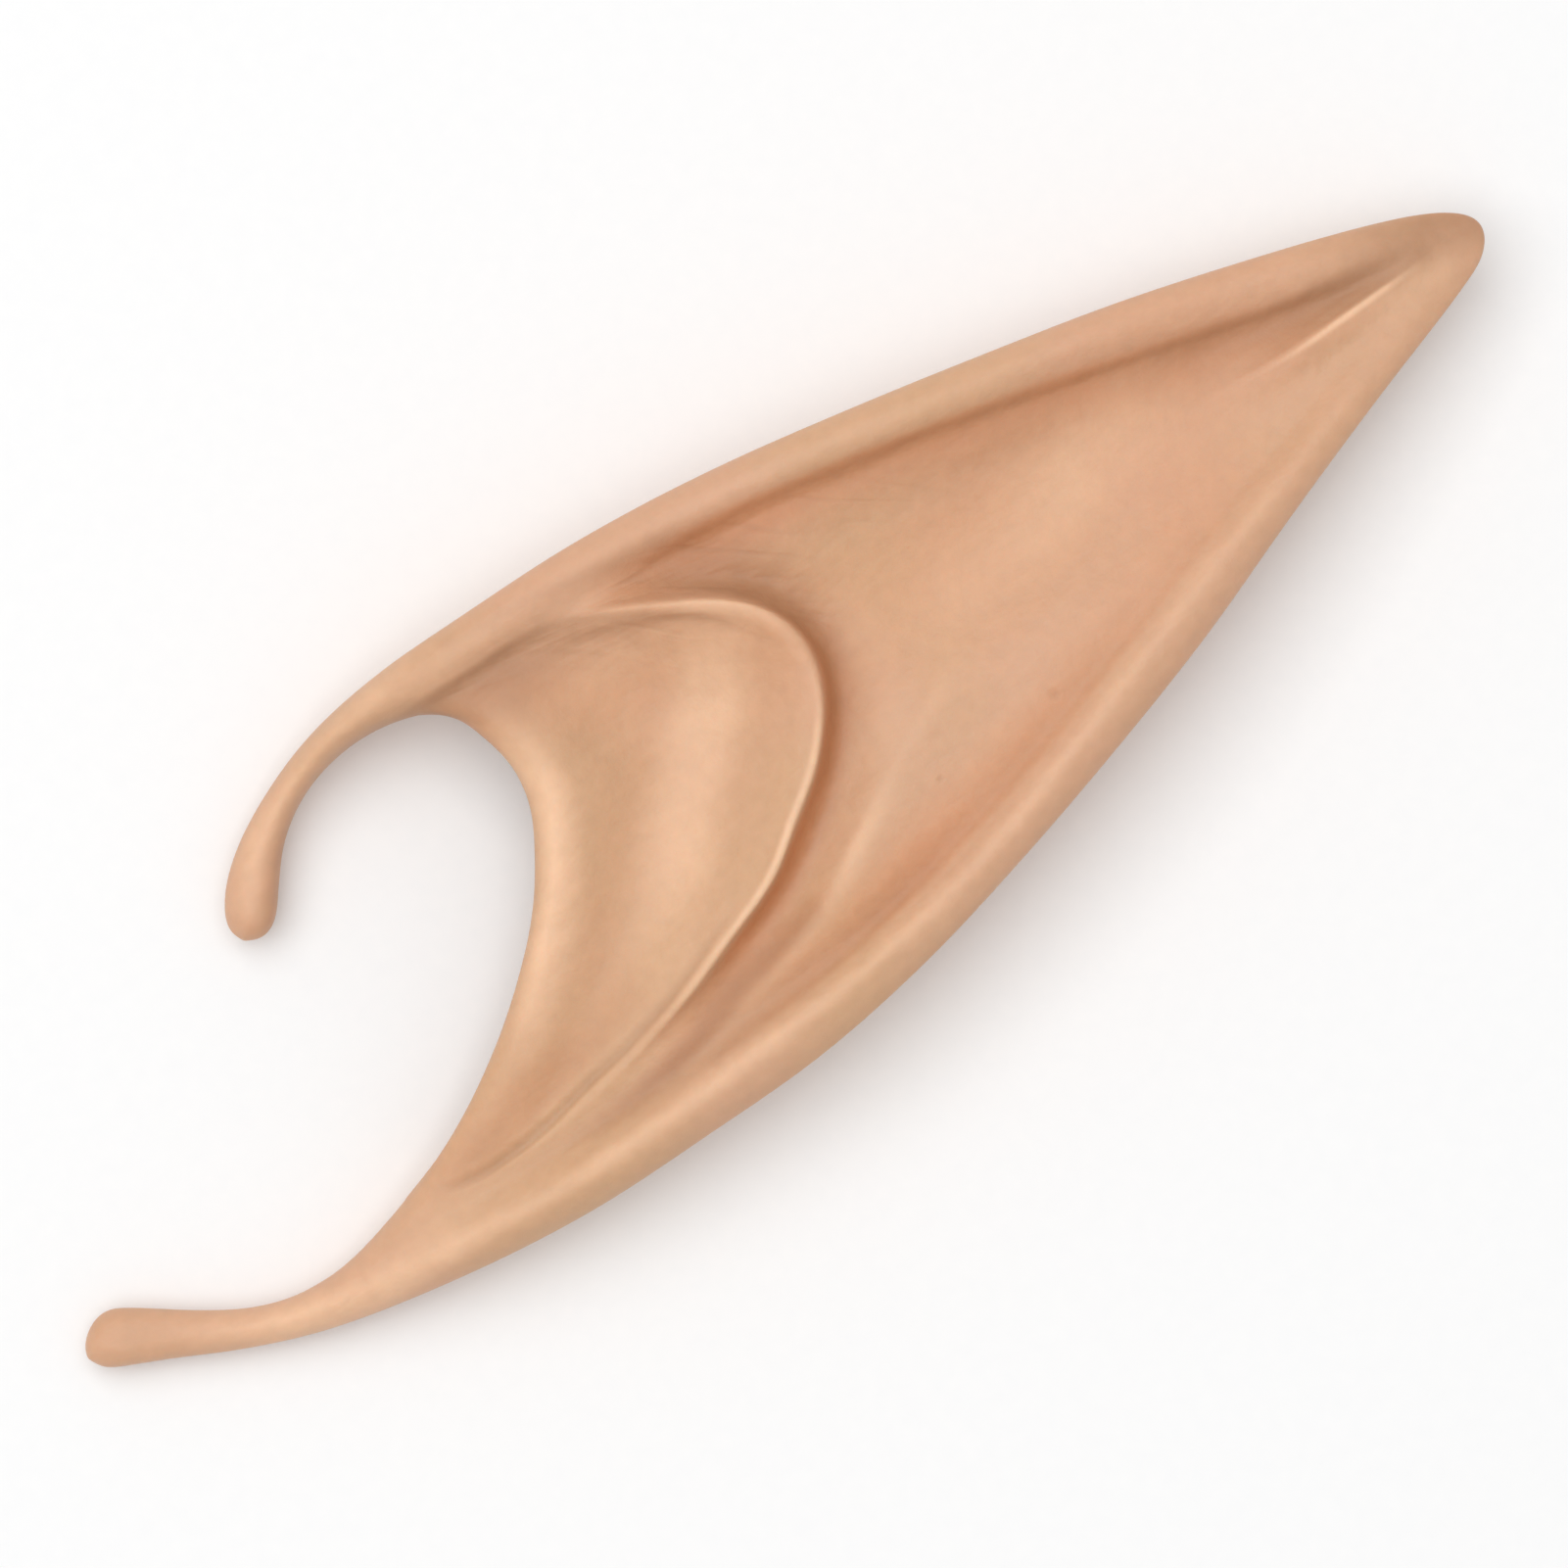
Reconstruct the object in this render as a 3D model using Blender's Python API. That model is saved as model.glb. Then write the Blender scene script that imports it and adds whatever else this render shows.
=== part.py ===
"""A long, pointed ear tip of soft moulded rubber, worn over the top of the wearer's left ear.

It is one hollow moulding. The front wall carries the ear's relief and is open at the notch, where the
wearer's own ear shows. The back wall is plain. The two meet at the outline and leave a pocket between them.
A thin hook runs over the root of the ear and a thin tail runs down towards the lobe; both are solid.

The ear lies on its back wall: +X runs from the tail to the tip, +Y to the upper rim, +Z to the front.
All tables are in millimetres. Their routes run from the hook over the top to the tip, and back below to the
tail, so that the outer side is always on the left of the route and the notch on its right.
"""
import bpy
import bmesh
import numpy as np
from mathutils import Vector
from mathutils.geometry import delaunay_2d_cdt

MM = 0.001

# Driving dimensions
WALL = 1.3
THIN_WALL = 0.8
CORNER_WALL_SHARE = 1.0 / 3.0
SOLID_RIM = 2.6
EDGE_DROP = 0.8
EDGE_ROLL = 1.6
CORNER_LENGTH = 6.5
POCKET_ROLL = 6.0

# Plan outlines: the hook end, the tip and the tail end are the points where they meet. The mouth of the
# pocket runs along the notch from the hook's root to the mouth end, short of the tail's root.
HOOK_END = (-37.25, 15.65)
TIP = (64.05, -0.1)
TAIL_END = (-64.85, -0.65)
HOOK_ROOT = (-17.3, 20.3)
MOUTH_END = (-40.0, -6.05)
TAIL_ROOT = (-47.5, -6.95)

UPPER_OUTLINE = (
    HOOK_END, (-37.6, 17.0), (-36.4, 19.0), (-33.6, 21.1), (-29.5, 22.85), (-24.5, 24.1), (-18.5, 24.45),
    (-10.0, 23.8), (0.0, 22.7), (10.0, 20.7), (20.0, 18.0), (30.0, 15.0), (40.0, 11.8), (50.0, 8.0),
    (56.0, 5.5), (60.0, 3.6), (62.6, 1.95), (63.8, 0.65), TIP)

LOWER_OUTLINE = (
    TIP, (63.75, -1.0), (62.5, -2.15), (60.0, -3.0), (50.0, -5.4), (40.0, -8.0), (30.0, -10.8),
    (20.0, -13.0), (10.0, -14.85), (0.0, -16.25), (-10.0, -16.75), (-20.0, -16.1), (-30.0, -15.1),
    (-40.0, -13.0), (-50.0, -9.9), (-56.0, -6.95), (-60.0, -4.5), (-62.6, -3.0), (-64.3, -1.9), TAIL_END)

NOTCH_EDGE = (
    HOOK_END, (-36.0, 14.95), (-34.6, 15.3), (-32.6, 17.3), (-30.4, 19.4), (-27.0, 21.1), (-23.0, 21.65),
    (-19.5, 21.15), (-17.0, 20.1), (-15.3, 18.4), (-14.55, 15.8), (-14.35, 13.0), (-15.1, 10.2),
    (-17.0, 7.3), (-20.0, 3.95), (-25.0, 0.15), (-30.0, -2.7), (-35.0, -4.8), (-40.0, -6.05),
    (-46.0, -6.95), (-50.0, -6.6), (-53.5, -5.1), (-57.0, -2.45), (-60.0, 0.2), (-61.7, 1.4),
    (-63.4, 1.05), (-64.6, 0.1), TAIL_END)

# Guide lines that the front wall's faces follow
LIP_LINE = (
    (-5.0, 19.0), (-2.5, 17.75), (0.5, 15.8), (4.0, 13.4), (6.3, 11.0), (7.35, 8.2), (7.1, 5.4),
    (5.5, 2.6), (2.5, -0.3), (-1.5, -2.7), (-5.0, -4.6), (-10.0, -6.05), (-15.0, -7.35), (-20.0, -8.25),
    (-28.0, -8.8), (-38.0, -8.6), (-47.5, -8.0))

TROUGH_LINE = (
    (4.0, 18.1), (8.2, 14.6), (10.4, 10.8), (10.9, 7.4), (10.1, 3.8), (7.6, 0.2), (4.2, -2.9),
    (0.0, -5.4), (-5.0, -7.6), (-10.0, -9.2), (-20.0, -10.3), (-30.0, -10.0), (-40.0, -9.3), (-47.5, -8.6))

UPPER_FOOT = ((4.0, 18.1), (10.0, 16.8), (20.0, 14.0), (27.0, 11.7), (35.0, 8.9), (43.0, 6.0),
              (50.0, 3.6), (55.0, 2.1), (58.5, 1.3))

LOWER_FOOT = ((58.5, -1.2), (50.0, -1.9), (40.0, -3.5), (30.0, -5.7), (20.0, -7.9), (10.0, -10.0),
              (0.0, -11.5), (-10.0, -12.1), (-20.0, -11.9), (-30.0, -11.1), (-40.0, -9.9), (-47.4, -9.2))

BACK_EDGE = (HOOK_ROOT, (-12.6, 17.6), (-9.4, 13.2), (-9.6, 8.0), (-13.0, 3.0), (-19.0, -1.4),
             (-26.0, -4.4), (-33.0, -5.9), MOUTH_END)

# Levels along the body and along the hook: crown is the front wall without its folds, rim is the outline's
# height, back is the underside. The rolls are how far in from the outline each side is rounded.
BODY_COLUMNS = ("x", "crown", "rim", "back", "upper_roll", "lower_roll", "under_roll")
BODY = (
    (-66.0, 3.7, 2.2, 0.7, 1.7, 1.7, 1.7),
    (-56.0, 4.1, 2.4, 0.5, 1.7, 1.7, 1.7),
    (-48.0, 5.2, 3.2, 0.2, 1.7, 1.9, 2.2),
    (-38.0, 7.6, 5.6, 0.0, 1.9, 2.6, 4.5),
    (-22.0, 10.0, 8.6, 0.0, 1.9, 2.9, 7.0),
    (0.0, 11.4, 10.8, 0.0, 2.0, 3.0, 8.0),
    (20.0, 11.4, 10.8, 0.0, 2.0, 3.0, 8.0),
    (40.0, 10.4, 9.6, 0.6, 2.0, 2.8, 7.0),
    (52.0, 9.2, 8.3, 2.2, 1.9, 2.4, 5.0),
    (60.0, 8.0, 7.2, 4.2, 1.8, 1.9, 3.0),
    (65.0, 7.0, 6.4, 5.2, 1.6, 1.6, 2.0),
)
HOOK = (
    (-38.0, 4.4, 2.6, 0.9, 1.9, 1.9, 1.9),
    (-30.0, 5.2, 3.1, 0.7, 1.6, 1.6, 1.6),
    (-22.0, 8.4, 5.8, 0.2, 1.6, 1.6, 2.0),
    (-14.0, 10.6, 9.4, 0.0, 1.9, 2.9, 5.5),
)
HOOK_BLEND = (-17.0, -12.0)
HOOK_ABOVE_Y = 10.0

# Folds of the front wall: each has its width towards the notch, its width towards the outline, how flat its
# top is (2 is evenly round, 4 is flat with steep sides) and a route of x, y and height points. A fold with a
# negative height is a hollow, which the pocket's ceiling follows.
FOLDS = {
    "upper_rim": (2.8, 5.0, 2.4, (
        (-24.0, 22.8, 0.0), (-18.0, 22.4, 0.6), (-12.0, 22.0, 1.0), (0.0, 20.9, 1.2), (10.0, 18.9, 1.2),
        (20.0, 16.2, 1.2), (30.0, 13.1, 1.1), (40.0, 9.8, 1.0), (50.0, 6.1, 0.8), (57.0, 3.4, 0.5),
        (61.0, 1.7, 0.0))),
    "lower_rim": (3.0, 3.4, 2.4, (
        (59.0, -2.2, 0.0), (54.0, -3.4, 0.4), (45.0, -5.4, 0.8), (35.0, -7.6, 1.0), (25.0, -9.8, 1.1),
        (15.0, -12.0, 1.2), (5.0, -13.7, 1.2), (-5.0, -14.1, 1.3), (-15.0, -13.9, 1.2),
        (-25.0, -13.5, 1.1), (-35.0, -12.1, 0.9), (-44.0, -10.2, 0.5), (-52.0, -7.8, 0.0))),
    "upper_groove": (2.2, 1.1, 2.0, (
        (-18.0, 20.6, -0.2), (-12.0, 20.0, -0.35), (-9.0, 19.7, -0.3), (-5.5, 19.1, -0.15), (-3.0, 18.9, 0.0),
        (-0.5, 18.9, 0.0), (1.5, 18.3, -0.25), (10.0, 16.6, -0.3), (20.0, 13.8, -0.3), (30.0, 10.5, -0.3),
        (40.0, 6.9, -0.25), (50.0, 3.4, -0.15), (57.0, 1.2, 0.0))),
    "lower_groove": (2.5, 1.3, 2.0, (
        (50.0, -2.4, 0.0), (40.0, -4.5, -0.2), (20.0, -8.9, -0.3), (8.0, -11.5, -0.45),
        (-5.0, -12.3, -0.65), (-15.0, -11.9, -0.6), (-25.0, -11.4, -0.3), (-35.0, -10.5, 0.0))),
    "lip_start": (1.9, 1.7, 2.0, (
        (-7.5, 19.3, 0.0), (-5.0, 18.85, 0.6), (-2.5, 17.75, 1.1), (0.5, 15.8, 1.2), (4.0, 13.4, 0.7),
        (6.3, 11.0, 0.2), (7.2, 9.0, 0.0))),
    "lip": (6.0, 0.95, 2.0, (
        (-3.5, 18.2, 0.0), (0.5, 15.8, 0.7), (4.0, 13.4, 1.7), (6.3, 11.0, 2.4),
        (7.35, 8.2, 2.7), (7.1, 5.4, 2.6), (5.5, 2.6, 2.4), (2.5, -0.3, 2.2), (-1.5, -2.7, 2.0),
        (-5.0, -4.6, 1.9), (-10.0, -6.05, 1.6), (-15.0, -7.35, 1.1), (-20.0, -8.25, 0.6),
        (-26.0, -8.75, 0.25), (-34.0, -8.7, 0.0))),
    "lip_groove": (0.9, 3.4, 2.0, (
        (-0.5, 18.9, 0.0), (1.2, 18.4, -0.3), (3.0, 17.2, -0.6), (4.9, 15.5, -0.8), (6.9, 12.4, -1.0),
        (8.3, 8.5, -1.0), (8.0, 4.8, -1.0), (6.3, 1.8, -1.0), (3.1, -1.4, -1.1), (-1.0, -4.0, -1.1),
        (-5.0, -5.8, -1.0), (-10.0, -7.5, -0.8), (-14.5, -8.8, -0.4), (-19.0, -9.9, 0.0))),
    "bowl": (9.0, 7.0, 2.0, (
        (-10.0, 18.5, -0.4), (-5.0, 13.0, -1.5), (-3.5, 6.0, -2.0), (-9.0, 0.0, -1.8),
        (-18.0, -4.0, -1.3), (-28.0, -6.6, -0.8), (-40.0, -8.0, 0.0))),
    "bowl_fold": (5.5, 3.6, 2.0, (
        (2.4, 8.0, 0.0), (0.6, 4.9, 0.25), (-3.0, 1.4, 0.55), (-7.5, -1.4, 0.7), (-12.0, -3.8, 0.6),
        (-18.0, -5.8, 0.3), (-26.0, -7.2, 0.0))),
    "edge_roll": (2.6, 4.0, 2.0, (
        (-14.0, 19.0, 0.2), (-12.2, 16.0, 0.6), (-11.9, 13.0, 0.9), (-12.9, 9.8, 1.1), (-15.5, 6.2, 1.2),
        (-19.2, 2.2, 1.1), (-24.5, -1.8, 0.9), (-31.0, -4.9, 0.5), (-39.0, -7.1, 0.0))),
    "scapha_fold": (1.5, 4.0, 2.0, (
        (17.5, 0.2, 0.0), (15.1, -0.8, 0.15), (8.3, -3.5, 0.45), (2.0, -6.3, 0.6), (-4.0, -8.6, 0.5),
        (-10.5, -10.7, 0.0))),
    "scapha": (9.0, 11.0, 2.0, (
        (7.0, 10.0, 0.0), (12.0, 7.0, -1.3), (20.0, 4.4, -2.0), (30.0, 2.8, -1.8), (40.0, 1.8, -1.2),
        (50.0, 1.1, -0.5), (58.0, 0.5, 0.0))),
    "tip_valley": (2.0, 1.7, 2.0, (
        (34.0, 7.6, 0.0), (44.0, 4.2, -0.3), (50.0, 2.7, -0.45), (54.0, 2.0, -0.25), (58.0, 1.2, 0.0))),
    "tip_crease": (3.0, 1.4, 2.0, (
        (40.0, 2.0, 0.0), (43.8, 1.6, 0.25), (50.0, 1.1, 0.42), (54.6, 0.75, 0.38), (60.0, 0.35, 0.0))),
}

# Counts of faces along and across each part of the front wall
HOOK_COUNT = 16
BOWL_COUNT = 60
BEND_COUNT = 22
LEAF_COUNT = 28
HALVED_FROM = 17
STRIP_COUNT = 4
TAIL_COUNT = 14
SMOOTH_STEPS = 10
ARM_SPACING_POWER = 1.5

# Distances and shares that space the lines across it
EDGE_SPACING = (0.0, 0.35, 1.0, 2.0)
LIP_SPACING = (1.6, 0.7, 0.0)
FULL_SPACING_LENGTH = 8.0
BOWL_LINES = 4
TROUGH_SHARES = (0.11, 0.28, 0.58, 1.0)
BODY_BAND = (0.0, 0.03, 0.12, 0.26, 0.42, 0.58, 0.74, 0.88, 1.0)
ARM_BAND = (0.0, 0.04, 0.15, 0.31, 0.5, 0.69, 0.85, 0.96, 1.0)
BAND_BLEND = 8

# Rows of points under the outline and the spacing of the points inside the plain surfaces
UNDER_ROWS = ((0.25, 1), (0.9, 1), (2.1, 2), (3.8, 2), (5.9, 2))
ROW_CLEARANCE = 0.93
BACK_SPACING = 3.6
POCKET_SPACING = 3.2
POCKET_CLEARANCE = 1.1
CLOSEST_POINTS = 0.0001
LEAST_SPACING = 0.45
RING_STRIDE = 2
CORNER_STEPS = 4

MERGE_DISTANCE = 0.002 * MM
SHARP_ANGLE = 60.0

SKIN_COLOUR = (0.68, 0.38, 0.235, 1.0)
SKIN_ROUGHNESS = 0.48


def smooth_line(points):
    """A centripetal Catmull-Rom curve through points; columns after x and y ride along."""
    given = np.array(points, dtype=float)
    ends = (2.0 * given[0] - given[1], 2.0 * given[-1] - given[-2])
    given = np.vstack((ends[0], given, ends[1]))
    line = []
    for a, b, c, d in zip(given, given[1:], given[2:], given[3:]):
        knots = [0.0]
        for start, end in ((a, b), (b, c), (c, d)):
            knots.append(knots[-1] + np.hypot(*(end - start)[:2]) ** 0.5)
        k0, k1, k2, k3 = knots
        for k in np.linspace(k1, k2, SMOOTH_STEPS, endpoint=False):
            ab = ((k1 - k) * a + (k - k0) * b) / (k1 - k0)
            bc = ((k2 - k) * b + (k - k1) * c) / (k2 - k1)
            cd = ((k3 - k) * c + (k - k2) * d) / (k3 - k2)
            abc = ((k2 - k) * ab + (k - k0) * bc) / (k2 - k0)
            bcd = ((k3 - k) * bc + (k - k1) * cd) / (k3 - k1)
            line.append(((k2 - k) * abc + (k - k1) * bcd) / (k2 - k1))
    line.append(given[-2])
    return np.array(line)


def lengths(line):
    """Distance travelled at each point of a line, from 0 at its start."""
    steps = np.hypot(*np.diff(line[:, :2], axis=0).T)
    return np.concatenate(([0.0], np.cumsum(steps)))


def at_lengths(line, distances):
    """Points of a line at the given distances along it."""
    travelled = lengths(line)
    return np.column_stack([np.interp(distances, travelled, column) for column in line.T])


def evenly(line, count, start=0.0, end=None):
    """count + 1 evenly spaced points of a line between two distances along it."""
    end = lengths(line)[-1] if end is None else end
    return at_lengths(line, np.linspace(start, end, count + 1))


def nearest(line, plan):
    """For each plan point: distance to a line, whether it lies on the left, and the place along the line."""
    start = line[:-1, :2]
    step = line[1:, :2] - start
    offset = plan[:, None, :] - start[None]
    share = np.clip((offset * step).sum(2) / (step * step).sum(1), 0.0, 1.0)
    away = offset - share[..., None] * step
    squared = (away * away).sum(2)
    best = squared.argmin(1)
    rows = np.arange(len(plan))
    side = step[best, 0] * offset[rows, best, 1] - step[best, 1] * offset[rows, best, 0]
    return np.sqrt(squared[rows, best]), side > 0.0, best + share[rows, best]


def distance_to(line, point):
    """Distance along a line to where it passes nearest to a plan point."""
    _, _, place = nearest(line, np.array([point], dtype=float)[:, :2])
    return np.interp(place[0], np.arange(len(line)), lengths(line))


def monotone(xs, ys, at):
    """A smooth curve through a table's column that never overshoots its values."""
    widths = np.diff(xs)
    slopes = np.diff(ys) / widths
    tangents = np.zeros(len(xs))
    for i in range(1, len(xs) - 1):
        if slopes[i - 1] * slopes[i] > 0.0:
            weights = (2.0 * widths[i] + widths[i - 1], widths[i] + 2.0 * widths[i - 1])
            tangents[i] = sum(weights) / (weights[0] / slopes[i - 1] + weights[1] / slopes[i])
    tangents[0], tangents[-1] = slopes[0], slopes[-1]
    at = np.clip(at, xs[0], xs[-1])
    i = np.clip(np.searchsorted(xs, at) - 1, 0, len(widths) - 1)
    t = (at - xs[i]) / widths[i]
    return ((1 + 2 * t) * (1 - t) ** 2 * ys[i] + t * (1 - t) ** 2 * widths[i] * tangents[i]
            + t * t * (3 - 2 * t) * ys[i + 1] - t * t * (1 - t) * widths[i] * tangents[i + 1])


def ease(start, end, value):
    """A smooth step from 0 at start to 1 at end."""
    t = np.clip((value - start) / (end - start), 0.0, 1.0)
    return t * t * (3.0 - 2.0 * t)


def rounding(share):
    """A quarter circle: 0 with a steep start at share 0, level from share 1 on."""
    return np.sqrt(1.0 - (1.0 - np.clip(share, 0.0, 1.0)) ** 2)


def level(column, plan):
    """A column of the level tables at plan points, blended from the hook's table to the body's."""
    place = BODY_COLUMNS.index(column)
    body = np.array(BODY)
    hook = np.array(HOOK)
    on_body = monotone(body[:, 0], body[:, place], plan[:, 0])
    on_hook = monotone(hook[:, 0], hook[:, place], plan[:, 0])
    share = np.where(plan[:, 1] > HOOK_ABOVE_Y, 1.0 - ease(*HOOK_BLEND, plan[:, 0]), 0.0)
    return on_body + (on_hook - on_body) * share


def relief(plan, hollows_only=False):
    """Sum of the folds at plan points."""
    total = np.zeros(len(plan))
    for inner_width, outer_width, flatness, route in FOLDS.values():
        line = smooth_line(route)
        distance, outer, place = nearest(line, plan)
        height = np.interp(place, np.arange(len(line)), line[:, 2])
        if hollows_only:
            height = np.minimum(height, 0.0)
        share = np.clip(distance / np.where(outer, outer_width, inner_width), 0.0, 1.0)
        total += height * (1.0 - share ** flatness) ** 2
    return total


def along_notch(plan):
    """Distance along the notch edge at which it passes nearest to each plan point."""
    _, _, place = nearest(NOTCH, plan)
    return np.interp(place, np.arange(len(NOTCH)), lengths(NOTCH))


def closing(plan):
    """How far the notch edge is rolled shut: 1 along the solid arms, 0 along the mouth of the pocket."""
    travelled = along_notch(plan)
    after_root = ease(MOUTH_FROM, MOUTH_FROM + CORNER_LENGTH, travelled)
    before_end = 1.0 - ease(MOUTH_TO - CORNER_LENGTH, MOUTH_TO, travelled)
    return 1.0 - after_root * before_end


def front_height(plan):
    """Height of the front wall's outer skin."""
    to_outline, _, place = nearest(OUTLINE, plan)
    to_notch, _, _ = nearest(NOTCH, plan)
    lower = place > TIP_PLACE
    roll = np.where(lower, level("lower_roll", plan), level("upper_roll", plan))
    shut = closing(plan)
    unrolled = 1.0 - rounding(to_notch / level("upper_roll", plan))
    share = np.minimum(rounding(to_outline / roll), 1.0 - shut * unrolled)
    rim = level("rim", plan)
    full = rim + (level("crown", plan) + relief(plan) - rim) * share
    return full - EDGE_DROP * (1.0 - shut) * (1.0 - rounding(to_notch / EDGE_ROLL))


def back_height(plan):
    """Height of the back wall's outer skin: a hull that is level where the ear rests."""
    to_outline, _, _ = nearest(OUTLINE, plan)
    to_notch, _, _ = nearest(NOTCH, plan)
    roll = level("under_roll", plan)
    shut = 1.0 - closing(plan) * (1.0 - rounding(to_notch / level("upper_roll", plan)))
    share = np.minimum(rounding(to_outline / roll), shut)
    rim = level("rim", plan)
    return rim + (level("back", plan) - rim) * share


def pocket_rim_height(plan):
    """Height of the line where the pocket's ceiling and floor meet."""
    return (level("crown", plan) + level("back", plan)) / 2.0


def ceiling_height(plan):
    """Height of the pocket's ceiling, the inner skin of the front wall."""
    to_outline, _, _ = nearest(OUTLINE, plan)
    rim = pocket_rim_height(plan)
    top = level("crown", plan) + relief(plan, hollows_only=True) - WALL
    height = rim + (top - rim) * rounding((to_outline - SOLID_RIM) / POCKET_ROLL)
    return np.minimum(height, front_height(plan) - THIN_WALL)


def floor_height(plan):
    """Height of the pocket's floor, the inner skin of the back wall."""
    to_outline, _, _ = nearest(OUTLINE, plan)
    rim = pocket_rim_height(plan)
    bottom = level("back", plan) + WALL
    height = rim + (bottom - rim) * rounding((to_outline - SOLID_RIM) / level("under_roll", plan))
    return np.maximum(height, back_height(plan) + THIN_WALL)


def raised(plan, height):
    """Plan points with their height as a third column."""
    plan = np.asarray(plan, dtype=float)[:, :2]
    return np.column_stack((plan, height(plan)))


def bowl_row(edge, lip, trough):
    """Plan points of one row across the bowl, from the notch edge over the lip to the trough beside it."""
    length = np.hypot(*(lip - edge))
    scale = min(1.0, length / FULL_SPACING_LENGTH) / length
    near_edge = [distance * scale for distance in EDGE_SPACING]
    near_lip = [1.0 - distance * scale for distance in LIP_SPACING]
    middle = np.linspace(near_edge[-1], near_lip[0], BOWL_LINES + 2)[1:-1]
    inside = [edge + (lip - edge) * share for share in (*near_edge, *middle, *near_lip)]
    outside = [lip + (trough - lip) * share for share in TROUGH_SHARES]
    return np.array(inside + outside)


def patch(left, right, top, bottom):
    """Plan points of a four-sided patch, one column for each pair of points of its top and bottom."""
    columns = []
    for k, (above, below) in enumerate(zip(top, bottom)):
        u = k / (len(top) - 1)
        v = np.linspace(0.0, 1.0, len(left))[:, None]
        sides = (1 - u) * left + u * right + (1 - v) * above + v * below
        corners = (1 - u) * ((1 - v) * top[0] + v * bottom[0]) + u * ((1 - v) * top[-1] + v * bottom[-1])
        columns.append(sides - corners)
    return columns


def arm_rows(last_side, first_side, count, shares):
    """Plan rows across a solid arm, close together at the point of its end and wider towards its root."""
    travel = np.linspace(0.0, 1.0, count + 1) ** ARM_SPACING_POWER
    starts = at_lengths(first_side, travel * lengths(first_side)[-1])
    ends = at_lengths(last_side, travel * lengths(last_side)[-1])
    return [start + (end - start) * np.array(shares)[:, None] for start, end in zip(starts, ends)]


def part_of(line, start, end):
    """The stretch of a line between two distances along it."""
    travelled = lengths(line)
    inside = line[(travelled > start) & (travelled < end)]
    ends = at_lengths(line, [start, end])
    return np.vstack((ends[0], inside, ends[1]))


def add_rows(mesh, rows, height):
    """Loft faces through rows of plan points; a row may have half the faces of the row before."""
    vertices = []
    for row in rows:
        vertices.append([mesh.verts.new(point * MM) for point in raised(row, height)])
    for one, two in zip(vertices, vertices[1:]):
        if len(one) == len(two):
            for k in range(len(one) - 1):
                mesh.faces.new((one[k], one[k + 1], two[k + 1], two[k]))
        else:
            for k in range(len(two) - 1):
                mesh.faces.new((one[2 * k], one[2 * k + 1], one[2 * k + 2], two[k + 1], two[k]))


def add_strip(mesh, one, two):
    """Faces between two rows of 3-D points."""
    first = [mesh.verts.new(point * MM) for point in one]
    second = [mesh.verts.new(point * MM) for point in two]
    for k in range(len(first) - 1):
        mesh.faces.new((first[k], first[k + 1], second[k + 1], second[k]))


def filled(boundary, plan, height):
    """Triangles inside a closed boundary of 3-D points, with more points at their own height."""
    points = np.vstack((boundary, raised(plan, height)))
    flat = [Vector(point[:2]) for point in points]
    _, _, faces, origins, _, _ = delaunay_2d_cdt(flat, [], [list(range(len(boundary)))], 1, CLOSEST_POINTS)
    return points, [tuple(origins[k][0] for k in face) for face in faces]


def add_faces(mesh, points, faces):
    """Faces from 3-D points and the places of their corners in the list of points."""
    vertices = [mesh.verts.new(point * MM) for point in points]
    for face in faces:
        mesh.faces.new([vertices[k] for k in face])


def inside_of(boundary, plan):
    """Which plan points lie inside a closed boundary."""
    x, y = plan[:, 0][:, None], plan[:, 1][:, None]
    ax, ay = boundary[:, 0], boundary[:, 1]
    bx, by = np.roll(ax, -1), np.roll(ay, -1)
    crosses = (ay > y) != (by > y)
    rise = np.where(by == ay, 1.0, by - ay)
    return (crosses & (x < (bx - ax) * (y - ay) / rise + ax)).sum(1) % 2 == 1


def grid_inside(boundary, spacing, clearance):
    """A triangular grid of plan points that keep a clearance to a closed boundary."""
    low, high = boundary[:, :2].min(0), boundary[:, :2].max(0)
    points = []
    for row, y in enumerate(np.arange(low[1], high[1], spacing * np.sqrt(0.75))):
        for x in np.arange(low[0] + spacing / 2.0 * (row % 2), high[0], spacing):
            points.append((x, y))
    plan = np.array(points)
    plan = plan[inside_of(boundary, plan)]
    closed = np.vstack((boundary[:, :2], boundary[:1, :2]))
    return plan[nearest(closed, plan)[0] > clearance]


def inset(chain, distance):
    """Plan points of a chain, moved to its right by a distance."""
    step = np.gradient(chain[:, :2], axis=0)
    right = np.column_stack((step[:, 1], -step[:, 0])) / np.hypot(*step.T)[:, None]
    return chain[:, :2] + right * distance


def under_rows(chain, boundary):
    """Rows of plan points beside the outline, where the hull is steepest."""
    closed = np.vstack((boundary[:, :2], boundary[:1, :2]))
    rows = []
    for distance, stride in UNDER_ROWS:
        plan = inset(chain, distance)[::stride]
        plan = plan[inside_of(boundary, plan)]
        rows.append(plan[nearest(closed, plan)[0] > distance * ROW_CLEARANCE])
    return rows


def pocket_ring(chain, start, end):
    """The line inside the rim where the pocket ends, between two points of the mouth."""
    plan = inset(chain, SOLID_RIM)[::RING_STRIDE]
    travelled = along_notch(plan)
    clear = nearest(OUTLINE, plan)[0] > SOLID_RIM * ROW_CLEARANCE
    beside = (travelled > distance_to(NOTCH, start)) & (travelled < distance_to(NOTCH, end))
    return plan[clear & beside]


def spread(plan, spacing):
    """Plan points without those that lie closer than a spacing to one kept before."""
    kept = []
    for point in plan:
        if all(np.hypot(*(point - other)) > spacing for other in kept):
            kept.append(point)
    return np.array(kept)


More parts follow.
